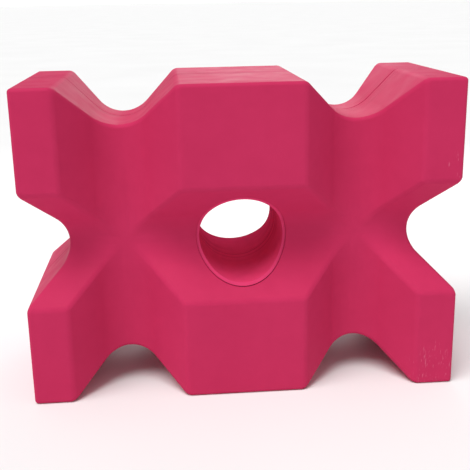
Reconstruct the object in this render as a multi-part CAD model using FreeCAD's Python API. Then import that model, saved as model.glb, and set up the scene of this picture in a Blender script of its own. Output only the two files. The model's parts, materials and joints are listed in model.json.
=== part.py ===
"""Hollow moulded pole block with V grooves for poles on every face and a bore through its middle.

Frame: origin at the centre of the footprint, +Z up, X along the width, -Y towards the front face.
All sizes are in millimetres.
"""

import FreeCAD, Part

import math
import os

V = FreeCAD.Vector

# Overall size of the block
block_width = 600.0
block_depth = 275.0
block_height = 440.0
edge_radius = 6.0
least_radius = 0.5

# Grooves: 45 degree walls that meet in a round bottom, which holds a 100 mm pole
groove_radius = 52.0
groove_width = 159.0
groove_lip_radius = 12.0
leg_pad_width = 56.0

# Moulded shells and the joint between them
wall = 5.0
joint_offset = 20.0
rebate_width = 2.4
rebate_depth = 2.0
bead_setback = 0.9
bead_land = 0.4
tongue_thickness = 1.2
tongue_height = 3.0
tongue_gap = 0.1

# Bore and its two sleeves
bore_radius = 60.0
sleeve_wall = 4.0
sleeve_setback = 3.0
sleeve_lap = 8.0
socket_wall = 6.0
socket_length = 20.0

# Filler: recess, neck, cap and seal
recess_radius = 38.0
recess_depth = 21.0
neck_bore_radius = 22.2
neck_wall = 6.0
neck_length = 24.0
neck_lead_in = 2.0
neck_lead_in_gap = 0.4
neck_flange_width = 6.0
neck_flange_thickness = 3.0
seal_thickness = 2.5
seal_width = 7.0
cap_flange_thickness = 6.0
cap_flange_overhang = 2.0
cap_shank_length = 18.0
cap_shank_wall = 4.0
cap_edge_radius = 1.5
grip_width = 10.0
grip_height = 9.0
grip_end_margin = 4.0
grip_corner_radius = 4.5
thread_lead = 6.0
thread_depth = 1.8
thread_crest = 1.6
thread_flank = 0.8
thread_relief = 4.0
fit_gap = 0.4
tiny = 0.001

# Places worked out from the sizes above
half_width = block_width / 2
half_depth = block_depth / 2
half_height = block_height / 2
groove_half = groove_width / 2
groove_x = half_width - leg_pad_width - groove_half
groove_depth = groove_half - (math.sqrt(2) - 1) * groove_radius
recess_z = (half_height + groove_half) / 2
floor_y = half_depth - recess_depth
sleeve_radius = bore_radius + sleeve_wall
cap_root_radius = neck_bore_radius - fit_gap
seal_radius = cap_root_radius + fit_gap + seal_width
reach = block_width + block_depth + block_height


def groove(along, face):
    """Three corners of a groove centred at `along` in an edge at `face`: (along, across, radius)."""
    return [
        (along - groove_half, face, groove_lip_radius),
        (along, face - math.copysign(groove_half, face), groove_radius),
        (along + groove_half, face, groove_lip_radius),
    ]


def quarter_turn(corners):
    """The same corners, turned by 90 degrees anticlockwise about the centre."""
    return [(-v, u, radius) for u, v, radius in corners]


def outline(half_u, half_v, grooves_along_u, grooves_along_v):
    """Corners of a rectangle with grooves in all four edges, anticlockwise from the lower left.

    The grooves' places are measured from the centre and are the same on opposite edges."""
    lower = [(-half_u, -half_v, edge_radius)]
    for at in grooves_along_u:
        lower += groove(at, -half_v)
    right = [(-half_v, -half_u, edge_radius)]
    for at in grooves_along_v:
        right += groove(at, -half_u)
    half_way = lower + quarter_turn(right)
    return half_way + quarter_turn(quarter_turn(half_way))


def rounded_face(corners, inset, place):
    """Flat face inside the corners, moved inwards by `inset`, with each corner rounded.

    `place` turns the pair (u, v) into a point in space."""
    count = len(corners)
    lines = []
    for i, (u, v, _) in enumerate(corners):
        un, vn, _ = corners[(i + 1) % count]
        length = math.hypot(un - u, vn - v)
        du, dv = (un - u) / length, (vn - v) / length
        lines.append((u - dv * inset, v + du * inset, du, dv))
    edges = []
    starts = []
    ends = []
    for i, (_, _, radius) in enumerate(corners):
        u0, v0, du0, dv0 = lines[i - 1]
        u1, v1, du1, dv1 = lines[i]
        turn = du0 * dv1 - dv0 * du1
        t = ((u1 - u0) * dv1 - (v1 - v0) * du1) / turn
        cu, cv = u0 + du0 * t, v0 + dv0 * t
        size = max(radius - math.copysign(inset, turn), least_radius)
        tangent = size * math.tan(abs(math.asin(max(-1, min(1, turn)))) / 2)
        before = (cu - du0 * tangent, cv - dv0 * tangent)
        after = (cu + du1 * tangent, cv + dv1 * tangent)
        bu, bv = du1 - du0, dv1 - dv0
        bend = math.hypot(bu, bv)
        to_centre = math.hypot(size, tangent)
        middle = (
            cu + bu / bend * (to_centre - size),
            cv + bv / bend * (to_centre - size),
        )
        edges.append(Part.Arc(place(*before), place(*middle), place(*after)).toShape())
        starts.append(before)
        ends.append(after)
    for i in range(count):
        here, there = ends[i], starts[(i + 1) % count]
        edges.append(Part.LineSegment(place(*here), place(*there)).toShape())
    return Part.Face(Part.Wire(Part.__sortEdges__(edges)))


FRONT = outline(half_width, half_height, [-groove_x, groove_x], [0.0])
PLAN = outline(half_width, half_depth, [-groove_x, groove_x], [])
SIDE = outline(half_depth, half_height, [], [0.0])


def front_prism(inset, y_low, y_high):
    """The front outline, moved inwards by `inset`, pushed from y_low to y_high."""
    face = rounded_face(FRONT, inset, lambda u, v: V(u, y_low, v))
    return face.extrude(V(0, y_high - y_low, 0))


def block_solid(inset):
    """What three outlines have in common: the block's shape with every face moved in by `inset`."""
    front = front_prism(inset, -half_depth + inset, half_depth - inset)
    plan = rounded_face(PLAN, inset, lambda u, v: V(u, v, -half_height))
    side = rounded_face(SIDE, inset, lambda u, v: V(-half_width, u, v))
    plan_prism = plan.extrude(V(0, 0, block_height))
    side_prism = side.extrude(V(block_width, 0, 0))
    return front.common(plan_prism).common(side_prism)


def rod(radius, y_low, y_high, z=0.0):
    """Cylinder along Y."""
    return Part.makeCylinder(radius, y_high - y_low, V(0, y_low, z), V(0, 1, 0))


def tube(inner, outer, y_low, y_high, z=0.0):
    """Ring along Y."""
    return rod(outer, y_low, y_high, z).cut(rod(inner, y_low, y_high, z))


def half_space(front):
    """Box that holds everything in front of the joint between the shells, or behind it."""
    y_low = joint_offset - reach if front else joint_offset
    return Part.makeBox(2 * reach, reach, 2 * reach, V(-reach, y_low, -reach))


def hollow_block():
    """The whole moulded skin, with its bore sockets and filler cup, before it is parted."""
    cavity = block_solid(wall)
    socket_y = half_depth - groove_depth - wall - socket_length
    for low, high in ((-half_depth, -socket_y), (socket_y, half_depth)):
        cavity = cavity.cut(rod(sleeve_radius + socket_wall, low, high))
    cavity = cavity.cut(rod(recess_radius + wall, floor_y - wall, half_depth, recess_z))
    skin = block_solid(0.0)
    skin = skin.cut(rod(recess_radius, floor_y, half_depth, recess_z))
    skin = skin.cut(cavity)
    skin = skin.cut(rod(neck_bore_radius + neck_wall, 0.0, half_depth, recess_z))
    return skin.cut(rod(sleeve_radius, -half_depth, half_depth))


def joint_ring(outer_inset, inner_inset, y_low, y_high):
    """Ring that follows the front outline between two insets."""
    return front_prism(outer_inset, y_low, y_high).cut(front_prism(inner_inset, y_low, y_high))


def rebate_ring(outer_inset):
    """The rebate round the joint, filled up to `outer_inset` below the block's surface."""
    low, high = joint_offset - rebate_width / 2, joint_offset + rebate_width / 2
    return joint_ring(outer_inset, rebate_depth, low, high)


def tongue_solid(gap):
    """Raised rim on the front shell; with a gap, the groove that takes it."""
    inset = rebate_depth + bead_land
    high = joint_offset + tongue_height + gap
    return joint_ring(inset - gap, inset + tongue_thickness + gap, joint_offset, high)


def shells():
    """Front and rear shells, parted at the joint."""
    skin = hollow_block().cut(rebate_ring(0.0))
    front = skin.common(half_space(True)).fuse(tongue_solid(0.0))
    rear = skin.common(half_space(False)).cut(tongue_solid(tongue_gap))
    return front.removeSplitter(), rear


def sleeves():
    """The two sleeves of the bore, trimmed just below the groove faces and lapped at the joint."""
    body = block_solid(sleeve_setback).common(
        tube(bore_radius, sleeve_radius, -half_depth, half_depth)
    )
    lap_radius = bore_radius + sleeve_wall / 2
    spigot = tube(bore_radius, lap_radius, joint_offset, joint_offset + sleeve_lap)
    front = body.common(half_space(True)).fuse(spigot)
    rear = body.common(half_space(False)).cut(spigot)
    return front.removeSplitter(), rear


def thread_ridge(root, grow, low, turns):
    """Helical ridge that stands on a shank of radius `root`; `grow` thickens it on all sides."""
    height = turns * thread_lead
    helix = Part.makeHelix(thread_lead, height, root)
    half_root = thread_crest / 2 + thread_flank + grow
    half_crest = thread_crest / 2 + grow
    sink = fit_gap
    profile = Part.makePolygon(
        [
            V(root - sink, 0, -half_root),
            V(root + thread_depth + grow, 0, -half_crest),
            V(root + thread_depth + grow, 0, half_crest),
            V(root - sink, 0, half_root),
            V(root - sink, 0, -half_root),
        ]
    )
    ridge = Part.Wire(helix.Edges).makePipeShell([profile], True, True)
    ridge.translate(V(0, 0, low))
    return ridge


def at_filler(shape):
    """Stands a shape made along +Z on the floor of the filler recess, facing out of the rear."""
    shape = shape.copy()
    shape.rotate(V(0, 0, 0), V(1, 0, 0), -90)
    shape.translate(V(0, floor_y, recess_z))
    return shape


def filler_neck():
    """Threaded insert in the floor of the recess, with a flange behind the wall."""
    outer = neck_bore_radius + neck_wall
    body = Part.makeCylinder(outer, neck_length, V(0, 0, -neck_length))
    flange_low = -wall - neck_flange_thickness
    flange = Part.makeCylinder(
        outer + neck_flange_width, neck_flange_thickness, V(0, 0, flange_low)
    )
    neck = body.fuse(flange).removeSplitter()
    neck = neck.cut(Part.makeCylinder(neck_bore_radius, neck_length, V(0, 0, -neck_length)))
    lead_in_radius = cap_root_radius + thread_depth + fit_gap + neck_lead_in_gap
    neck = neck.cut(Part.makeCylinder(lead_in_radius, neck_lead_in, V(0, 0, -neck_lead_in)))
    start = thread_start() - thread_lead
    return at_filler(neck.cut(thread_ridge(cap_root_radius, fit_gap, start, -start / thread_lead)))


def thread_start():
    """Height of the lower end of the cap's thread above the recess floor."""
    return seal_thickness - cap_shank_length + thread_crest / 2 + thread_flank


def cap_seal():
    """Flat washer under the cap."""
    inner = cap_root_radius + fit_gap
    ring = Part.makeCylinder(seal_radius, seal_thickness)
    return at_filler(ring.cut(Part.makeCylinder(inner, seal_thickness)))


def filler_cap():
    """Screw cap with a flange, a bar to turn it by and a hollow threaded shank."""
    radius = seal_radius + cap_flange_overhang
    flange = Part.makeCylinder(radius, cap_flange_thickness, V(0, 0, seal_thickness))
    flange = flange.makeFillet(cap_edge_radius, flange.Edges)
    shank_low = seal_thickness - cap_shank_length
    shank = Part.makeCylinder(cap_root_radius, cap_shank_length, V(0, 0, shank_low))
    threaded = cap_shank_length - thread_relief - thread_crest - 2 * thread_flank
    ridge = thread_ridge(cap_root_radius, 0.0, thread_start(), threaded / thread_lead)
    grip_top = seal_thickness + cap_flange_thickness
    grip_length = 2 * (radius - grip_end_margin)
    grip = Part.makeBox(
        grip_length, grip_width, grip_height, V(-grip_length / 2, -grip_width / 2, grip_top)
    )
    uprights = [e for e in grip.Edges if abs(e.tangentAt(e.FirstParameter).z) > tiny]
    grip = grip.makeFillet(grip_corner_radius, uprights)
    top = [e for e in grip.Edges if abs(e.BoundBox.ZMin - grip_top - grip_height) < tiny]
    grip = grip.makeFillet(cap_edge_radius, top)
    hollow = Part.makeCylinder(
        cap_root_radius - cap_shank_wall, cap_shank_length, V(0, 0, shank_low)
    )
    cap = flange.fuse(shank).fuse(grip).removeSplitter().fuse(ridge)
    return at_filler(cap.cut(hollow))


def write(name, shape):
    """Stands a shape on the ground plane and saves it under its node's name."""
    shape = shape.copy()
    shape.translate(V(0, 0, half_height))
    shape.exportStep(f"parts/{name}.step")
    print(f"{name}: {len(shape.Solids)} solid, {shape.Volume / 1000:.1f} cm3, valid {shape.isValid()}")


def main():
    os.makedirs("parts", exist_ok=True)
    front_shell, rear_shell = shells()
    front_sleeve, rear_sleeve = sleeves()
    write("front_shell", front_shell)
    write("rear_shell", rear_shell)
    write("seam_bead", rebate_ring(bead_setback))
    write("front_bore_sleeve", front_sleeve)
    write("rear_bore_sleeve", rear_sleeve)
    write("filler_neck", filler_neck())
    write("filler_cap", filler_cap())
    write("cap_seal", cap_seal())


main()
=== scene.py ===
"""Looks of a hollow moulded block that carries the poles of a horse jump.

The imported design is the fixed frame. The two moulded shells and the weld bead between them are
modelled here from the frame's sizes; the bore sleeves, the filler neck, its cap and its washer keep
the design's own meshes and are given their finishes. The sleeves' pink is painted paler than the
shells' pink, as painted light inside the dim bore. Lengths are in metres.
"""

import enum
import json
import logging
import math
from collections.abc import Callable
from dataclasses import dataclass, field

import bmesh
import bpy
from mathutils import Matrix, Vector


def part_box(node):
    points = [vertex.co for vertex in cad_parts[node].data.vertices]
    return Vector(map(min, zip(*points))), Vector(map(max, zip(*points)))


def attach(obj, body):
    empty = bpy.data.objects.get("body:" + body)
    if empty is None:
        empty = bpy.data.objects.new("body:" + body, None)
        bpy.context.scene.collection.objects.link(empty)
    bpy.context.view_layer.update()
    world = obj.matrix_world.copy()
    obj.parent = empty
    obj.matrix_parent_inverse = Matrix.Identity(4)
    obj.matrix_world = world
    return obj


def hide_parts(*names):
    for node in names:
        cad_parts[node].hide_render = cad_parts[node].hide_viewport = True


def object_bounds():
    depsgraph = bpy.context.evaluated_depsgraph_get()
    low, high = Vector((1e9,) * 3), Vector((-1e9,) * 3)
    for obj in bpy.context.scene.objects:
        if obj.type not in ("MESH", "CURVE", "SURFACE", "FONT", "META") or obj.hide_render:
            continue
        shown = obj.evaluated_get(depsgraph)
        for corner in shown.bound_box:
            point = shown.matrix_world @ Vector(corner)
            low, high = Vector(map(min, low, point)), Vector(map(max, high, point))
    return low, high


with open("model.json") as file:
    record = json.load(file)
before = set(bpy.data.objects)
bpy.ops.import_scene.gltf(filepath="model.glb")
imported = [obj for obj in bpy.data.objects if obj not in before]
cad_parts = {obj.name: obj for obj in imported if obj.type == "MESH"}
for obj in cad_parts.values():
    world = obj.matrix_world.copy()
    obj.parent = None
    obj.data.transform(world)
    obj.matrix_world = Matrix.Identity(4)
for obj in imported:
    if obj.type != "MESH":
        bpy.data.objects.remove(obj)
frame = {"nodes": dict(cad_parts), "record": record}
CAD_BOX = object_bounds()

log = logging.getLogger("pole_block")

MM = 0.001
ROOT_TWO = math.sqrt(2.0)
EIGHTH_TURN = math.pi / 4
QUARTER_TURN = math.pi / 2

# Below this angle two faces count as one.
COPLANAR = math.radians(0.2)
# Points nearer than this to a saw's plane count as on it.
SAWN = 0.001 * MM
# Points nearer than this to each other are merged, or count as in one plane.
DOUBLED = 0.01 * MM
# Points nearer than this to a round wall or edge count as on it.
NEAR = 0.05 * MM
# The block's corners are rounded to this many decimals of a metre, so that cuts meet exactly.
ROUND_TO = 5

Colour = tuple[float, float, float, float]
PINK: Colour = (0.580, 0.0325, 0.113, 1.0)
# The two sleeve pinks below are painted lighter than the shells' pink: painted light for the bore,
# where little lamp light reaches.
SLEEVE_PAINTED_BRIGHT_PINK: Colour = (0.790, 0.0620, 0.190, 1.0)
SLEEVE_PAINTED_BRIGHT_DEEP_PINK: Colour = (0.720, 0.0500, 0.160, 1.0)
DEEP_PINK: Colour = (0.545, 0.0290, 0.103, 1.0)
DARK_PINK: Colour = (0.300, 0.0070, 0.035, 1.0)
SCRATCHED_PINK: Colour = (0.80, 0.28, 0.42, 1.0)
BLACK: Colour = (0.022, 0.022, 0.024, 1.0)
DEEP_BLACK: Colour = (0.015, 0.015, 0.016, 1.0)
RUBBER_BLACK: Colour = (0.012, 0.012, 0.012, 1.0)
DEEP_RUBBER_BLACK: Colour = (0.008, 0.008, 0.008, 1.0)
FLOOR_GREY: Colour = (0.86, 0.86, 0.86, 1.0)
PALE_FLOOR_GREY: Colour = (0.89, 0.89, 0.89, 1.0)
WALL_GREY: Colour = (0.9, 0.9, 0.9, 1.0)
WHITE: Colour = (1.0, 1.0, 1.0, 1.0)


class Axis(enum.IntEnum):
    """The frame's three directions."""

    X = 0
    Y = 1
    Z = 2


class Grain(enum.Enum):
    """How fine a grain a skin took from its mould, in grains per metre."""

    BLASTED = 1100.0
    SATIN = 2400.0


def along(axis: Axis, length: float = 1.0) -> Vector:
    """Give the vector of one length along an axis.

    Args:
        axis: The axis.
        length: The vector's length, below 0 for one that points against the axis.

    Returns:
        The vector.
    """
    way = Vector((0.0, 0.0, 0.0))
    way[axis] = length
    return way


class Bench:
    """The few workshop moves that every new piece is made with."""

    @staticmethod
    def take(piece: bpy.types.Object) -> None:
        """Make one object the only selected one, and the active one.

        Args:
            piece: The object.
        """
        bpy.ops.object.select_all(action="DESELECT")
        piece.select_set(True)
        bpy.context.view_layer.objects.active = piece

    @staticmethod
    def settle(name: str) -> bpy.types.Object:
        """Put the new primitive's place, turn and size into its mesh.

        Args:
            name: The name that the object and its mesh get.

        Returns:
            The object, which now stands at the origin, unturned and unscaled.
        """
        piece = bpy.context.object
        piece.name = piece.data.name = name
        bpy.ops.object.transform_apply(location=True, rotation=True, scale=True)
        return piece

    @staticmethod
    def box(name: str, centre: Vector, size: Vector, turn: Vector) -> bpy.types.Object:
        """Add a cuboid.

        Args:
            name: The new object's name.
            centre: Its middle.
            size: Its three edge lengths before it is turned.
            turn: Its turn about the three axes, in radians.

        Returns:
            The new object.
        """
        bpy.ops.object.select_all(action="DESELECT")
        bpy.ops.mesh.primitive_cube_add(size=1.0, location=centre, rotation=turn)
        bpy.context.object.scale = size
        return Bench.settle(name)

    @staticmethod
    def rod(name: str, radius: float, low: Vector, high: Vector, sides: int) -> bpy.types.Object:
        """Add a cylinder along Y.

        Args:
            name: The new object's name.
            radius: The cylinder's radius.
            low: The middle of its front end.
            high: The middle of its rear end.
            sides: How many flat sides stand in for the round.

        Returns:
            The new object.
        """
        bpy.ops.object.select_all(action="DESELECT")
        bpy.ops.mesh.primitive_cylinder_add(
            vertices=sides,
            radius=radius,
            depth=(high - low).length,
            location=(low + high) / 2,
            rotation=(QUARTER_TURN, 0.0, 0.0),
        )
        return Bench.settle(name)

    @staticmethod
    def pick_edges(piece: bpy.types.Object, wanted: Callable[[bmesh.types.BMEdge], bool]) -> None:
        """Go into edit mode with only the wanted edges selected.

        Args:
            piece: The object to edit.
            wanted: Tells for one edge whether it is to be selected.
        """
        Bench.take(piece)
        bpy.ops.object.mode_set(mode="EDIT")
        bpy.ops.mesh.select_mode(type="EDGE")
        bpy.ops.mesh.select_all(action="DESELECT")
        mesh = bmesh.from_edit_mesh(piece.data)
        for edge in mesh.edges:
            edge.select_set(wanted(edge))
        bmesh.update_edit_mesh(piece.data)

    @staticmethod
    def pick_faces(piece: bpy.types.Object, wanted: Callable[[bmesh.types.BMFace], bool]) -> None:
        """Go into edit mode with only the wanted faces selected.

        Args:
            piece: The object to edit.
            wanted: Tells for one face whether it is to be selected.
        """
        Bench.take(piece)
        bpy.ops.object.mode_set(mode="EDIT")
        bpy.ops.mesh.select_mode(type="FACE")
        bpy.ops.mesh.select_all(action="DESELECT")
        mesh = bmesh.from_edit_mesh(piece.data)
        for face in mesh.faces:
            face.select_set(wanted(face))
        bmesh.update_edit_mesh(piece.data)

    @staticmethod
    def done() -> None:
        """Leave edit mode."""
        bpy.ops.object.mode_set(mode="OBJECT")

    @staticmethod
    def round_picked(offset: float, steps: int) -> None:
        """Round the selected edges and leave edit mode.

        Args:
            offset: How far back from the edge the rounding starts.
            steps: How many strips the rounding has.
        """
        bpy.ops.mesh.bevel(
            offset=offset,
            offset_type="OFFSET",
            segments=steps,
            profile=0.5,
            affect="EDGES",
            clamp_overlap=True,
            miter_outer="SHARP",
        )
        Bench.done()

    @staticmethod
    def cut(piece: bpy.types.Object, tool: bpy.types.Object) -> None:
        """Cut a tool's shape out of a piece and throw the tool away.

        Args:
            piece: The object that is cut.
            tool: The solid that is cut out of it.
        """
        Bench.take(piece)
        cutting = piece.modifiers.new("cut", "BOOLEAN")
        cutting.operation = "DIFFERENCE"
        cutting.solver = "EXACT"
        cutting.object = tool
        bpy.ops.object.modifier_apply(modifier=cutting.name)
        spent = tool.data
        bpy.data.objects.remove(tool)
        bpy.data.meshes.remove(spent)
        Bench.tidy(piece)

    @staticmethod
    def tidy(piece: bpy.types.Object) -> None:
        """Merge doubled points and drop edges that lie inside flat faces.

        Args:
            piece: The object to tidy.
        """
        Bench.pick_faces(piece, lambda face: True)
        bpy.ops.mesh.remove_doubles(threshold=DOUBLED)
        bpy.ops.mesh.dissolve_degenerate(threshold=DOUBLED)
        bpy.ops.mesh.dissolve_limited(angle_limit=COPLANAR)
        Bench.done()

    @staticmethod
    def copy(piece: bpy.types.Object, name: str) -> bpy.types.Object:
        """Copy an object together with its mesh.

        Args:
            piece: The object to copy.
            name: The copy's name.

        Returns:
            The copy.
        """
        twin = piece.copy()
        twin.data = piece.data.copy()
        twin.name = twin.data.name = name
        bpy.context.collection.objects.link(twin)
        return twin

    @staticmethod
    def saw(piece: bpy.types.Object, y: float, keep_front: bool) -> None:
        """Saw a piece through at a depth and keep one side of it.

        Args:
            piece: The object that is sawn.
            y: Where the cut is.
            keep_front: Whether the side towards the front stays.
        """
        Bench.pick_faces(piece, lambda face: True)
        bpy.ops.mesh.bisect(
            plane_co=(0.0, y, 0.0),
            plane_no=(0.0, 1.0, 0.0),
            clear_outer=keep_front,
            clear_inner=not keep_front,
            threshold=SAWN,
        )
        Bench.done()

    @staticmethod
    def thicken(piece: bpy.types.Object, wall: float) -> None:
        """Give an open skin its wall, inwards from the surface.

        Args:
            piece: The skin.
            wall: The wall's thickness.
        """
        Bench.take(piece)
        solid = piece.modifiers.new("wall", "SOLIDIFY")
        solid.thickness = wall
        solid.offset = -1.0
        solid.use_even_offset = True
        solid.use_quality_normals = True
        bpy.ops.object.modifier_apply(modifier=solid.name)

    @staticmethod
    def smooth(piece: bpy.types.Object, sharp: float) -> None:
        """Shade a piece smoothly, with its broad faces kept flat.

        Args:
            piece: The object to shade.
            sharp: Edges above this angle, in radians, stay sharp.
        """
        Bench.take(piece)
        bpy.ops.object.shade_smooth_by_angle(angle=sharp)
        even = piece.modifiers.new("even", "WEIGHTED_NORMAL")
        even.keep_sharp = True
        bpy.ops.object.modifier_apply(modifier=even.name)


def mount(name: str) -> dict:
    """Give the record's entry for one mount."""
    return next(m for m in frame["record"]["mounts"] if m["name"] == name)


@dataclass(frozen=True)
class BlockSizes:
    """The block's sizes: all but the last two are read from the frame."""

    low: Vector
    high: Vector
    groove_radius: float
    groove_depth: float
    groove_x: float
    sleeve_radius: float
    joint_y: float
    recess_centre: Vector
    recess_floor: float
    recess_radius: float = 38.0 * MM
    neck_radius: float = 28.2 * MM

    @classmethod
    def read(cls) -> "BlockSizes":
        """Read the sizes that the frame's nodes and mounts give.

        Returns:
            The sizes.
        """
        low, high = (Vector([round(v, ROUND_TO) for v in corner]) for corner in CAD_BOX)
        groove = mount("top_right_groove")
        sleeve_low, sleeve_high = (Vector(corner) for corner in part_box("front_bore_sleeve"))
        bead_low, bead_high = (Vector(corner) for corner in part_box("seam_bead"))
        seal_low, seal_high = (Vector(corner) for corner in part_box("cap_seal"))
        return cls(
            low=low,
            high=high,
            groove_radius=groove["dims"]["r_mm"] * MM,
            groove_depth=high.z - groove["pos_m"][Axis.Z],
            groove_x=groove["pos_m"][Axis.X],
            sleeve_radius=(sleeve_high.x - sleeve_low.x) / 2,
            joint_y=(bead_low.y + bead_high.y) / 2,
            recess_centre=(seal_low + seal_high) / 2,
            recess_floor=seal_low.y,
        )

    @property
    def centre(self) -> Vector:
        """Give the middle of the block."""
        return (self.low + self.high) / 2

    @property
    def size(self) -> Vector:
        """Give the block's overall width, depth and height."""
        return self.high - self.low

    @property
    def groove_half(self) -> float:
        """Give half the width of a groove's mouth, where its 45 degree walls reach the face."""
        return self.groove_depth + (ROOT_TWO - 1.0) * self.groove_radius


@dataclass(frozen=True)
class Groove:
    """One V groove: the axis that it runs along, the way into the block, and its middle."""

    run: Axis
    inward: Vector
    middle: Vector


@dataclass
class MouldedShells:
    """The block's hollow skin, moulded as a front and a rear half."""

    sizes: BlockSizes
    wall: float = 4.6 * MM
    edge_round: float = 5.2 * MM
    edge_steps: int = 5
    lip_round: float = 1.4 * MM
    lip_steps: int = 3
    cup_lip_round: float = 2.0 * MM
    cup_lip_steps: int = 4
    seam_lip_round: float = 1.1 * MM
    seam_lip_steps: int = 2
    seam_half_width: float = 1.2 * MM
    arc_steps: int = 25
    bore_sides: int = 128
    cup_sides: int = 64
    cutter_overrun: float = 20.0 * MM
    cutter_length: float = 700.0 * MM
    corner_depth: float = 0.1 * MM
    ridge_angle: float = math.radians(14.0)
    sharp_angle: float = math.radians(35.0)
    front: bpy.types.Object = field(init=False)
    rear: bpy.types.Object = field(init=False)

    def grooves(self) -> list[Groove]:
        """List all the grooves: each face has one across it, and the long faces have two more.

        Returns:
            The grooves, in the order in which they are cut.
        """
        centre, half = self.sizes.centre, self.sizes.size / 2

        def across(run: Axis, way: Vector, x: float = 0.0) -> Groove:
            """Give the groove along one axis in the face that looks one way, moved aside by x."""
            reach = Vector((way.x * half.x, way.y * half.y, way.z * half.z))
            return Groove(run, -way, centre + reach + along(Axis.X, x))

        found = []
        for x in (-self.sizes.groove_x, self.sizes.groove_x):
            found += [across(Axis.Y, along(Axis.Z, side), x) for side in (1.0, -1.0)]
            found += [across(Axis.Z, along(Axis.Y, side), x) for side in (-1.0, 1.0)]
        for side in (-1.0, 1.0):
            found.append(across(Axis.Y, along(Axis.X, side)))
            found.append(across(Axis.X, along(Axis.Y, side)))
        return found

    def groove_tool(self, groove: Groove) -> bpy.types.Object:
        """Make the bar that cuts a groove: square, on its corner, with that corner rounded.

        Args:
            groove: The groove that the bar will cut.

        Returns:
            The bar.
        """
        side = (self.sizes.groove_half + self.cutter_overrun) * ROOT_TWO
        size = Vector((side, side, side))
        size[groove.run] = self.cutter_length
        turn = along(groove.run, EIGHTH_TURN)
        bar = Bench.box("bar", groove.middle - groove.inward * self.cutter_overrun, size, turn)
        deepest = max(point.co.dot(groove.inward) for point in bar.data.vertices)
        Bench.pick_edges(
            bar,
            lambda edge: all(
                v.co.dot(groove.inward) > deepest - self.corner_depth for v in edge.verts
            ),
        )
        Bench.round_picked(self.sizes.groove_radius, self.arc_steps)
        return bar

    def carve(self) -> bpy.types.Object:
        """Carve the block's outside: a cuboid, its grooves, and soft edges.

        Returns:
            The block as one closed solid.
        """
        block = Bench.box("block", self.sizes.centre, self.sizes.size, Vector())
        for groove in self.grooves():
            Bench.cut(block, self.groove_tool(groove))
        Bench.pick_edges(
            block,
            lambda edge: edge.is_manifold
            and edge.is_convex
            and edge.calc_face_angle() > self.ridge_angle,
        )
        Bench.round_picked(self.edge_round, self.edge_steps)
        return block

    def bore(self, block: bpy.types.Object) -> None:
        """Open the hole for the bore's sleeves, with a small lip at both mouths.

        Args:
            block: The carved block.
        """
        sizes, reach = self.sizes, along(Axis.Y) * self.sizes.size.y
        radius = sizes.sleeve_radius
        drill = Bench.rod("drill", radius, sizes.centre - reach, sizes.centre + reach, self.bore_sides)
        Bench.cut(block, drill)

        def on_wall(point: Vector) -> bool:
            """Tell whether a point lies on the bore's wall."""
            return abs(math.hypot(point.x - sizes.centre.x, point.z - sizes.centre.z) - radius) < NEAR

        Bench.pick_edges(
            block,
            lambda edge: all(on_wall(v.co) for v in edge.verts)
            and edge.is_manifold
            and edge.calc_face_angle() > self.sharp_angle,
        )
        Bench.round_picked(self.lip_round, self.lip_steps)
        Bench.pick_faces(block, lambda face: all(on_wall(v.co) for v in face.verts))
        bpy.ops.mesh.delete(type="FACE")
        Bench.done()

    def sink_cup(self, block: bpy.types.Object) -> None:
        """Sink the cup that the filler cap sits in, and open its floor for the neck.

        Args:
            block: The bored block.
        """
        sizes = self.sizes
        floor = Vector((sizes.recess_centre.x, sizes.recess_floor, sizes.recess_centre.z))
        above = floor + along(Axis.Y) * self.cutter_overrun * 2
        below = floor - along(Axis.Y) * self.cutter_overrun

        def away(point: Vector) -> float:
            """Tell how far a point is from the cup's middle line."""
            return math.hypot(point.x - floor.x, point.z - floor.z)

        def on_lip(point: Vector) -> bool:
            """Tell whether a point lies on the edge of the cup's mouth."""
            return abs(point.y - sizes.high.y) < NEAR and abs(away(point) - sizes.recess_radius) < NEAR

        def in_neck(point: Vector) -> bool:
            """Tell whether a point lies in the hole for the neck."""
            return away(point) < sizes.neck_radius + NEAR and point.y > sizes.centre.y

        Bench.cut(block, Bench.rod("cup", sizes.recess_radius, floor, above, self.cup_sides))
        Bench.pick_edges(block, lambda edge: all(on_lip(v.co) for v in edge.verts))
        Bench.round_picked(self.cup_lip_round, self.cup_lip_steps)
        Bench.cut(block, Bench.rod("neck", sizes.neck_radius, below, above, self.cup_sides))
        Bench.pick_faces(block, lambda face: all(in_neck(v.co) for v in face.verts))
        bpy.ops.mesh.delete(type="FACE")
        Bench.done()

    def part(self, block: bpy.types.Object) -> None:
        """Saw the skin into its two halves, and give each its wall and a lip along the seam.

        Args:
            block: The whole outer skin.
        """
        joint = self.sizes.joint_y
        self.front = block
        self.rear = Bench.copy(block, "rear_shell_skin")
        self.front.name = self.front.data.name = "front_shell_skin"
        for piece, y, is_front in (
            (self.front, joint - self.seam_half_width, True),
            (self.rear, joint + self.seam_half_width, False),
        ):
            Bench.saw(piece, y, is_front)
            Bench.thicken(piece, self.wall)
            Bench.pick_edges(
                piece,
                lambda edge, at=y: all(abs(v.co.y - at) < DOUBLED for v in edge.verts)
                and edge.is_manifold
                and edge.calc_face_angle() > self.sharp_angle,
            )
            Bench.round_picked(self.seam_lip_round, self.seam_lip_steps)
            Bench.smooth(piece, self.sharp_angle)

    def build(self) -> None:
        """Make both shells."""
        block = self.carve()
        self.bore(block)
        self.sink_cup(block)
        self.part(block)

    def dress(self, finish: "MouldedPlastic") -> None:
        """Give both shells their finish and tie them to the frame.

        Args:
            finish: The shells' plastic.
        """
        for piece, node in ((self.front, "front_shell"), (self.rear, "rear_shell")):
            piece.data.materials.clear()
            piece.data.materials.append(finish.material())
            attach(piece, "block")
            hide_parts(node)


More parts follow.
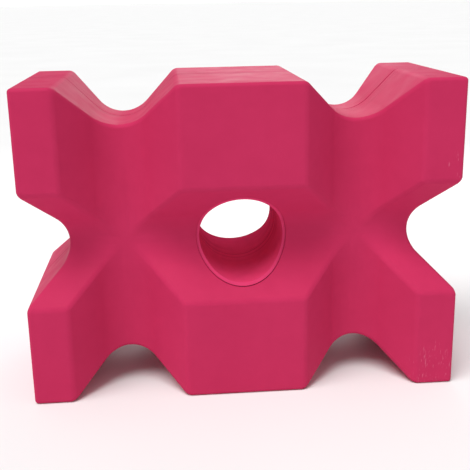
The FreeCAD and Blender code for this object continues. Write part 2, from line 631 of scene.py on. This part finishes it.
@dataclass
class WeldBead:
    """The bead that lies in the channel between the two shells."""

    shells: MouldedShells
    setback: float = 0.9 * MM
    crown: float = 0.35 * MM
    depth: float = 3.0 * MM
    piece: bpy.types.Object = field(init=False)

    def build(self) -> None:
        """Make the bead as a narrow band of the block's outside, sunk and crowned."""
        joint, half = self.shells.sizes.joint_y, self.shells.seam_half_width
        self.piece = self.shells.carve()
        self.piece.name = self.piece.data.name = "weld_bead"
        Bench.saw(self.piece, joint + half, True)
        Bench.saw(self.piece, joint - half, False)
        Bench.pick_edges(self.piece, lambda edge: not edge.is_boundary)
        bpy.ops.mesh.subdivide(number_cuts=1)
        bpy.ops.mesh.select_all(action="SELECT")
        bpy.ops.transform.shrink_fatten(value=-self.setback, use_even_offset=True)
        Bench.done()
        Bench.pick_edges(
            self.piece, lambda edge: all(abs(v.co.y - joint) < DOUBLED for v in edge.verts)
        )
        bpy.ops.transform.shrink_fatten(value=self.crown, use_even_offset=True)
        Bench.done()
        Bench.thicken(self.piece, self.depth)
        Bench.smooth(self.piece, self.shells.sharp_angle)

    def dress(self, finish: "MouldedPlastic") -> None:
        """Give the bead its finish and tie it to the frame.

        Args:
            finish: The bead's plastic.
        """
        self.piece.data.materials.clear()
        self.piece.data.materials.append(finish.material())
        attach(self.piece, "block")
        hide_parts("seam_bead")


@dataclass(frozen=True)
class Clouds:
    """A cloud pattern: clouds per metre, finer layers in each, and the part of its range that shows."""

    scale: float
    detail: float
    low: float = 0.3
    high: float = 0.7


@dataclass(frozen=True)
class Relief:
    """How far a pattern stands out of the surface, or lies in it, and how much of that shows."""

    height: float
    strength: float


class Shading:
    """A thin layer over one material's nodes, which lays them out and links them."""

    # A line across wanders this far, in bends of this size, and is full over this part of its width.
    WANDER = 0.8 * MM
    BENDS = Clouds(14.0, 1.0)
    FULL_PART = 0.3
    # Where a Mix node keeps its two colours and its result.
    MIX_LOW, MIX_HIGH, MIX_RESULT = 6, 7, 2

    def __init__(self, name: str) -> None:
        """Start a material.

        Args:
            name: The material's name.
        """
        self.material = bpy.data.materials.new(name)
        self.material.use_nodes = True
        self.nodes = self.material.node_tree.nodes
        self.links = self.material.node_tree.links
        self.shader = self.nodes["Principled BSDF"]
        self.place = self.nodes.new("ShaderNodeTexCoord").outputs["Object"]

    def link(self, source: bpy.types.NodeSocket, target: bpy.types.NodeSocket) -> None:
        """Link one socket to another."""
        self.links.new(source, target)

    def noise(
        self, clouds: Clouds, place: bpy.types.NodeSocket | None = None
    ) -> bpy.types.NodeSocket:
        """Add a cloud pattern with its whole range.

        Args:
            clouds: The pattern.
            place: The coordinates to read, or the object's own.

        Returns:
            The pattern's value, about 0.5 on average.
        """
        node = self.nodes.new("ShaderNodeTexNoise")
        node.inputs["Scale"].default_value = clouds.scale
        node.inputs["Detail"].default_value = clouds.detail
        self.link(place or self.place, node.inputs["Vector"])
        return node.outputs["Fac"]

    def spread(
        self,
        clouds: Clouds,
        place: bpy.types.NodeSocket | None = None,
        to_low: float = 0.0,
        to_high: float = 1.0,
    ) -> bpy.types.NodeSocket:
        """Add a cloud pattern with the part of its range that shows spread out.

        Args:
            clouds: The pattern.
            place: The coordinates to read, or the object's own.
            to_low: What the low end of that part becomes.
            to_high: What its high end becomes.

        Returns:
            The new value.
        """
        return self.levels(self.noise(clouds, place), clouds.low, clouds.high, to_low, to_high)

    def stretch(self, turn: Vector, scale: Vector) -> bpy.types.NodeSocket:
        """Turn and stretch the object's own coordinates.

        Args:
            turn: The turn about the three axes, in radians.
            scale: How much the coordinates grow along the three axes.

        Returns:
            The new coordinates.
        """
        node = self.nodes.new("ShaderNodeMapping")
        node.inputs["Rotation"].default_value = turn
        node.inputs["Scale"].default_value = scale
        self.link(self.place, node.inputs["Vector"])
        return node.outputs["Vector"]

    def levels(
        self,
        value: bpy.types.NodeSocket,
        low: float,
        high: float,
        to_low: float = 0.0,
        to_high: float = 1.0,
    ) -> bpy.types.NodeSocket:
        """Spread a value's range, with both ends clamped.

        Args:
            value: The value.
            low: Where the range starts.
            high: Where it ends.
            to_low: What the start becomes.
            to_high: What the end becomes.

        Returns:
            The new value.
        """
        node = self.nodes.new("ShaderNodeMapRange")
        for name, number in (
            ("From Min", low),
            ("From Max", high),
            ("To Min", to_low),
            ("To Max", to_high),
        ):
            node.inputs[name].default_value = number
        self.link(value, node.inputs["Value"])
        return node.outputs["Result"]

    def blend(
        self, amount: bpy.types.NodeSocket, low: Colour | bpy.types.NodeSocket, high: Colour
    ) -> bpy.types.NodeSocket:
        """Blend one colour into another.

        Args:
            amount: 0 for the first colour, 1 for the second.
            low: The first colour, or the socket that gives it.
            high: The second colour.

        Returns:
            The blended colour.
        """
        node = self.nodes.new("ShaderNodeMix")
        node.data_type = "RGBA"
        self.link(amount, node.inputs["Factor"])
        if isinstance(low, bpy.types.NodeSocket):
            self.link(low, node.inputs[self.MIX_LOW])
        else:
            node.inputs[self.MIX_LOW].default_value = low
        node.inputs[self.MIX_HIGH].default_value = high
        return node.outputs[self.MIX_RESULT]

    def sum(
        self, kind: str, first: bpy.types.NodeSocket, second: bpy.types.NodeSocket | float
    ) -> bpy.types.NodeSocket:
        """Work out one sum of two values.

        Args:
            kind: The operation, such as "ADD" or "MULTIPLY".
            first: The first value.
            second: The second value, or a fixed number.

        Returns:
            The result.
        """
        node = self.nodes.new("ShaderNodeMath")
        node.operation = kind
        self.link(first, node.inputs[0])
        if isinstance(second, bpy.types.NodeSocket):
            self.link(second, node.inputs[1])
        else:
            node.inputs[1].default_value = second
        return node.outputs[0]

    def nearness(self, spot: Vector, radius: float) -> bpy.types.NodeSocket:
        """Tell how near a point is to a spot.

        Args:
            spot: The spot's place.
            radius: Where the nearness has fallen to 0.

        Returns:
            1 at the spot, 0 from the radius on.
        """
        node = self.nodes.new("ShaderNodeVectorMath")
        node.operation = "DISTANCE"
        node.inputs[1].default_value = spot
        self.link(self.place, node.inputs[0])
        return self.levels(node.outputs["Value"], 0.0, radius, 1.0, 0.0)

    def line_across(self, y: float, half_width: float) -> bpy.types.NodeSocket:
        """Draw a soft line where the depth has one value, wandering a little.

        Args:
            y: The line's depth.
            half_width: How far from it the line has faded out.

        Returns:
            1 on the line, 0 off it.
        """
        apart = self.nodes.new("ShaderNodeSeparateXYZ")
        self.link(self.place, apart.inputs[0])
        wander = self.spread(self.BENDS, None, y - self.WANDER, y + self.WANDER)
        away = self.sum("ABSOLUTE", self.sum("SUBTRACT", apart.outputs[Axis.Y], wander), 0.0)
        return self.levels(away, self.FULL_PART * half_width, half_width, 1.0, 0.0)

    def bump(
        self,
        pattern: bpy.types.NodeSocket,
        relief: Relief,
        below: bpy.types.NodeSocket | None = None,
    ) -> bpy.types.NodeSocket:
        """Raise and sink the surface by a pattern.

        Args:
            pattern: The pattern.
            relief: How far 1 in the pattern stands above 0, and how much of it shows.
            below: A bump that this one lies on.

        Returns:
            The bent normal.
        """
        node = self.nodes.new("ShaderNodeBump")
        node.inputs["Distance"].default_value = relief.height
        node.inputs["Strength"].default_value = relief.strength
        self.link(pattern, node.inputs["Height"])
        if below is not None:
            self.link(below, node.inputs["Normal"])
        return node.outputs["Normal"]


@dataclass(frozen=True)
class Scuff:
    """A patch of light scratches: where it is, how far it spreads and which way it runs."""

    spot: tuple[float, float, float]
    radius: float
    turn: tuple[float, float, float]
    strength: float = 1.0


@dataclass(frozen=True)
class MouldedPlastic:
    """Coloured polyethylene as it comes out of a mould."""

    name: str
    colour: Colour
    deep_colour: Colour
    grain: Grain = Grain.BLASTED
    roughness: float = 0.5
    specular: float = 0.035
    waves_relief: Relief = Relief(0.5 * MM, 0.6)
    joint_y: float | None = None
    streaks_y: float | None = None
    scuffs: tuple[Scuff, ...] = ()

    # The colour, the shine and the surface all over.
    clouds: Clouds = Clouds(9.0, 3.0)
    clouds_share: float = 0.6
    mottle: Clouds = Clouds(55.0, 4.0)
    mottle_share: float = 0.4
    mottle_relief: Relief = Relief(0.12 * MM, 0.5)
    tone_low: float = 0.34
    tone_high: float = 0.66
    grain_detail: float = 2.0
    grain_relief: Relief = Relief(0.03 * MM, 0.5)
    shine: Clouds = Clouds(30.0, 5.0)
    smoother: float = 0.06
    rougher: float = 0.07
    waves: Clouds = Clouds(16.0, 2.0)

    # The line over the joint, where joint_y gives one.
    joint_half_width: float = 1.1 * MM
    joint_tint: float = 0.55
    joint_relief: Relief = Relief(-0.9 * MM, 1.0)

    # The fine lines beside the joint, where streaks_y gives them.
    streaks_reach: float = 42.0 * MM
    streaks_stretch: Vector = Vector((0.012, 1.0, 0.012))
    streaks_lines: Clouds = Clouds(230.0, 1.0, 0.50, 0.60)
    streaks_breaks: Clouds = Clouds(11.0, 2.0, 0.36, 0.52)
    streaks_tint: float = 0.30
    streaks_relief: Relief = Relief(-0.35 * MM, 0.9)

    # The scratches in each patch of scuffs.
    scuff_colour: Colour = SCRATCHED_PINK
    scuff_stretch: Vector = Vector((1.0, 1.0, 0.16))
    scuff_lines: Clouds = Clouds(520.0, 4.0, 0.60, 0.72)
    scuff_breaks: Clouds = Clouds(70.0, 2.0, 0.44, 0.58)
    scuff_full: float = 0.55
    scuff_tint: float = 0.7
    scuff_roughness: float = 0.2
    scuff_relief: Relief = Relief(0.08 * MM, 0.6)

    def scratches(self, shading: Shading, scuff: Scuff) -> bpy.types.NodeSocket:
        """Make one patch of short, fine, broken scratches.

        Args:
            shading: The material's nodes.
            scuff: The patch.

        Returns:
            1 on a scratch, 0 off it.
        """
        place = shading.stretch(Vector(scuff.turn), self.scuff_stretch)
        lines = shading.spread(self.scuff_lines, place)
        breaks = shading.spread(self.scuff_breaks)
        near = shading.levels(
            shading.nearness(Vector(scuff.spot), scuff.radius), 0.0, self.scuff_full
        )
        broken = shading.sum("MULTIPLY", lines, breaks)
        return shading.sum("MULTIPLY", shading.sum("MULTIPLY", broken, near), scuff.strength)

    def wear(self, shading: Shading) -> bpy.types.NodeSocket | None:
        """Join all the patches of scratches.

        Args:
            shading: The material's nodes.

        Returns:
            1 on a scratch, 0 off it, or nothing where the plastic has no patch.
        """
        worn = None
        for scuff in self.scuffs:
            patch = self.scratches(shading, scuff)
            worn = patch if worn is None else shading.sum("MAXIMUM", worn, patch)
        return worn

    def streaks(self, shading: Shading, y: float) -> bpy.types.NodeSocket:
        """Make the fine lines that run beside the joint, round the whole block.

        Args:
            shading: The material's nodes.
            y: The joint's depth.

        Returns:
            1 on a line, 0 off it.
        """
        place = shading.stretch(Vector(), self.streaks_stretch)
        lines = shading.spread(self.streaks_lines, place)
        breaks = shading.spread(self.streaks_breaks)
        near = shading.line_across(y, self.streaks_reach)
        return shading.sum("MULTIPLY", shading.sum("MULTIPLY", lines, breaks), near)

    def material(self) -> bpy.types.Material:
        """Make the material, once.

        Returns:
            The material.
        """
        known = bpy.data.materials.get(self.name)
        if known is not None:
            return known
        shading = Shading(self.name)
        shader = shading.shader
        shader.inputs["Specular IOR Level"].default_value = self.specular
        mottle = shading.noise(self.mottle)
        tone = shading.sum(
            "ADD",
            shading.sum("MULTIPLY", shading.noise(self.clouds), self.clouds_share),
            shading.sum("MULTIPLY", mottle, self.mottle_share),
        )
        tone = shading.levels(tone, self.tone_low, self.tone_high)
        colour = shading.blend(tone, self.deep_colour, self.colour)
        rough = shading.spread(
            self.shine, None, self.roughness - self.smoother, self.roughness + self.rougher
        )
        normal = shading.bump(shading.noise(self.waves), self.waves_relief)
        normal = shading.bump(mottle, self.mottle_relief, normal)
        grain = shading.noise(Clouds(self.grain.value, self.grain_detail))
        normal = shading.bump(grain, self.grain_relief, normal)
        if self.joint_y is not None:
            joint = shading.line_across(self.joint_y, self.joint_half_width)
            colour = shading.blend(shading.sum("MULTIPLY", joint, self.joint_tint), colour, DARK_PINK)
            normal = shading.bump(joint, self.joint_relief, normal)
        if self.streaks_y is not None:
            streaks = self.streaks(shading, self.streaks_y)
            colour = shading.blend(
                shading.sum("MULTIPLY", streaks, self.streaks_tint), colour, DARK_PINK
            )
            normal = shading.bump(streaks, self.streaks_relief, normal)
        worn = self.wear(shading)
        if worn is not None:
            colour = shading.blend(
                shading.sum("MULTIPLY", worn, self.scuff_tint), colour, self.scuff_colour
            )
            rough = shading.sum("ADD", rough, shading.sum("MULTIPLY", worn, self.scuff_roughness))
            normal = shading.bump(worn, self.scuff_relief, normal)
        shading.link(colour, shader.inputs["Base Color"])
        shading.link(rough, shader.inputs["Roughness"])
        shading.link(normal, shader.inputs["Normal"])
        return shading.material


@dataclass(frozen=True)
class NodeFinish:
    """The finish of one node that keeps the design's own mesh."""

    node: str
    finish: MouldedPlastic

    def dress(self) -> None:
        """Give the node's object its finish."""
        piece = frame["nodes"][self.node]
        for slot in piece.material_slots:
            slot.material = self.finish.material()
        if not piece.material_slots:
            piece.data.materials.append(self.finish.material())


@dataclass(frozen=True)
class Studio:
    """The pale floor, the wall far behind it, the soft light and the camera."""

    target: Vector
    camera_place: Vector = Vector((-0.0981, -1.2062, 0.5435))
    camera_turn: float = math.radians(4.53)
    camera_dip: float = math.radians(15.97)
    camera_roll: float = math.radians(-1.054)
    lens: float = 63.1
    sensor: float = 36.0
    floor_size: float = 400.0
    floor_clouds: Clouds = Clouds(1.5, 3.0)
    floor_roughness: float = 0.9
    floor_specular: float = 0.1
    wall_height: float = 12.0
    wall_glow: float = 0.8
    sky: float = 0.42
    key_power: float = 2.45
    key_way: Vector = Vector((-0.27, -0.33, 0.90))
    key_softness: float = math.radians(38.0)
    back_power: float = 5.5
    back_place: Vector = Vector((0.25, 1.5, 1.0))
    back_size: float = 1.0

    def floor(self) -> None:
        """Lay a wide pale floor."""
        bpy.ops.object.select_all(action="DESELECT")
        bpy.ops.mesh.primitive_plane_add(size=self.floor_size, location=(0.0, 0.0, 0.0))
        floor = Bench.settle("floor")
        shading = Shading("pale_floor")
        tone = shading.blend(shading.spread(self.floor_clouds), FLOOR_GREY, PALE_FLOOR_GREY)
        shading.link(tone, shading.shader.inputs["Base Color"])
        shading.shader.inputs["Roughness"].default_value = self.floor_roughness
        shading.shader.inputs["Specular IOR Level"].default_value = self.floor_specular
        floor.data.materials.append(shading.material)

    def backdrop(self) -> None:
        """Close the far end of the floor with a low white wall, too far away to light the block."""
        bpy.ops.object.select_all(action="DESELECT")
        bpy.ops.mesh.primitive_plane_add(
            size=self.floor_size,
            location=(0.0, self.floor_size / 2, 0.0),
            rotation=(QUARTER_TURN, 0.0, 0.0),
        )
        wall = Bench.settle("backdrop")
        Bench.pick_edges(wall, lambda edge: all(v.co.z > 0.0 for v in edge.verts))
        drop = self.wall_height - self.floor_size / 2
        bpy.ops.transform.translate(value=(0.0, 0.0, drop))
        Bench.done()
        shading = Shading("white_backdrop")
        shading.shader.inputs["Base Color"].default_value = WALL_GREY
        shading.shader.inputs["Emission Color"].default_value = WHITE
        shading.shader.inputs["Emission Strength"].default_value = self.wall_glow
        wall.data.materials.append(shading.material)

    def hang(self, name: str, kind: str, power: float, place: Vector) -> bpy.types.Light:
        """Hang a lamp that points at the block and isn't seen itself.

        Args:
            name: The lamp's name.
            kind: Blender's kind of light.
            power: Its strength.
            place: Where it hangs.

        Returns:
            The lamp's data.
        """
        lamp = bpy.data.lights.new(name, kind)
        lamp.energy = power
        holder = bpy.data.objects.new(name, lamp)
        holder.location = place
        holder.rotation_euler = (self.target - place).to_track_quat("-Z", "Y").to_euler()
        holder.visible_camera = False
        bpy.context.collection.objects.link(holder)
        return lamp

    def light(self) -> None:
        """Light the block broadly from above, softly from behind, and make the room white."""
        key = self.hang("key", "SUN", self.key_power, self.target + self.key_way)
        key.angle = self.key_softness
        back = self.hang("back", "AREA", self.back_power, self.back_place)
        back.shape = "DISK"
        back.size = self.back_size
        room = bpy.data.worlds.new("room")
        room.use_nodes = True
        sky = room.node_tree.nodes["Background"]
        sky.inputs["Color"].default_value = WHITE
        sky.inputs["Strength"].default_value = self.sky
        bpy.context.scene.world = room

    def camera(self) -> None:
        """Stand the camera in front, a little to the left and above."""
        turn, dip, roll = self.camera_turn, self.camera_dip, self.camera_roll
        ahead = Vector((math.sin(turn) * math.cos(dip), math.cos(turn) * math.cos(dip), -math.sin(dip)))
        level = Vector((math.cos(turn), -math.sin(turn), 0.0))
        rise = level.cross(ahead)
        right = level * math.cos(roll) + rise * math.sin(roll)
        upward = rise * math.cos(roll) - level * math.sin(roll)
        lens = bpy.data.cameras.new("camera")
        lens.lens = self.lens
        lens.sensor_width = self.sensor
        camera = bpy.data.objects.new("camera", lens)
        facing = Matrix((right, upward, -ahead)).transposed().to_4x4()
        camera.matrix_world = Matrix.Translation(self.camera_place) @ facing
        bpy.context.collection.objects.link(camera)
        bpy.context.scene.camera = camera
        bpy.context.scene.view_settings.view_transform = "Standard"

    def set_up(self) -> None:
        """Set up the whole studio."""
        self.floor()
        self.backdrop()
        self.light()
        self.camera()


def shell_scuffs(front: float) -> tuple[Scuff, ...]:
    """List the scratched patches near the right end of the front.

    Args:
        front: The front face's depth.

    Returns:
        The patches.
    """
    return (
        Scuff(spot=(0.282, front, 0.024), radius=0.052, turn=(0.4, 0.75, 0.0)),
        Scuff(spot=(0.262, front, 0.020), radius=0.042, turn=(0.0, -0.6, 0.3), strength=0.8),
        Scuff(spot=(0.294, front, 0.320), radius=0.024, turn=(0.0, 0.2, 0.2), strength=0.8),
    )


def main() -> None:
    """Build every piece, dress it, and set up the studio."""
    logging.basicConfig(level=logging.INFO, format="%(name)s: %(message)s")
    sizes = BlockSizes.read()
    shell = MouldedPlastic(
        "pink_polyethylene",
        PINK,
        DEEP_PINK,
        streaks_y=sizes.joint_y,
        scuffs=shell_scuffs(sizes.low.y),
    )
    # The sleeves are painted a paler pink than the shells: painted light inside the bore.
    sleeve = MouldedPlastic(
        "sleeve_paint_brightened_plastic",
        SLEEVE_PAINTED_BRIGHT_PINK,
        SLEEVE_PAINTED_BRIGHT_DEEP_PINK,
        roughness=0.8,
        specular=0.0,
        joint_y=sizes.joint_y,
        streaks_y=sizes.joint_y,
    )
    bead = MouldedPlastic("bead_polyethylene", DEEP_PINK, DARK_PINK, Grain.SATIN)
    black = MouldedPlastic(
        "black_cap_plastic",
        BLACK,
        DEEP_BLACK,
        Grain.SATIN,
        roughness=0.36,
        specular=0.5,
        waves_relief=Relief(0.1 * MM, 0.6),
    )
    rubber = MouldedPlastic(
        "washer_rubber",
        RUBBER_BLACK,
        DEEP_RUBBER_BLACK,
        Grain.SATIN,
        roughness=0.7,
        specular=0.3,
        waves_relief=Relief(0.05 * MM, 0.6),
    )
    shells = MouldedShells(sizes)
    shells.build()
    shells.dress(shell)
    log.info("shells: %d and %d faces", len(shells.front.data.polygons), len(shells.rear.data.polygons))
    weld = WeldBead(shells)
    weld.build()
    weld.dress(bead)
    log.info("weld bead: %d faces", len(weld.piece.data.polygons))
    for node, finish in (
        ("front_bore_sleeve", sleeve),
        ("rear_bore_sleeve", sleeve),
        ("filler_neck", black),
        ("filler_cap", black),
        ("cap_seal", rubber),
    ):
        NodeFinish(node, finish).dress()
        log.info("%s: %s", node, finish.name)
    Studio(sizes.centre).set_up()


if __name__ == "__main__":
    main()
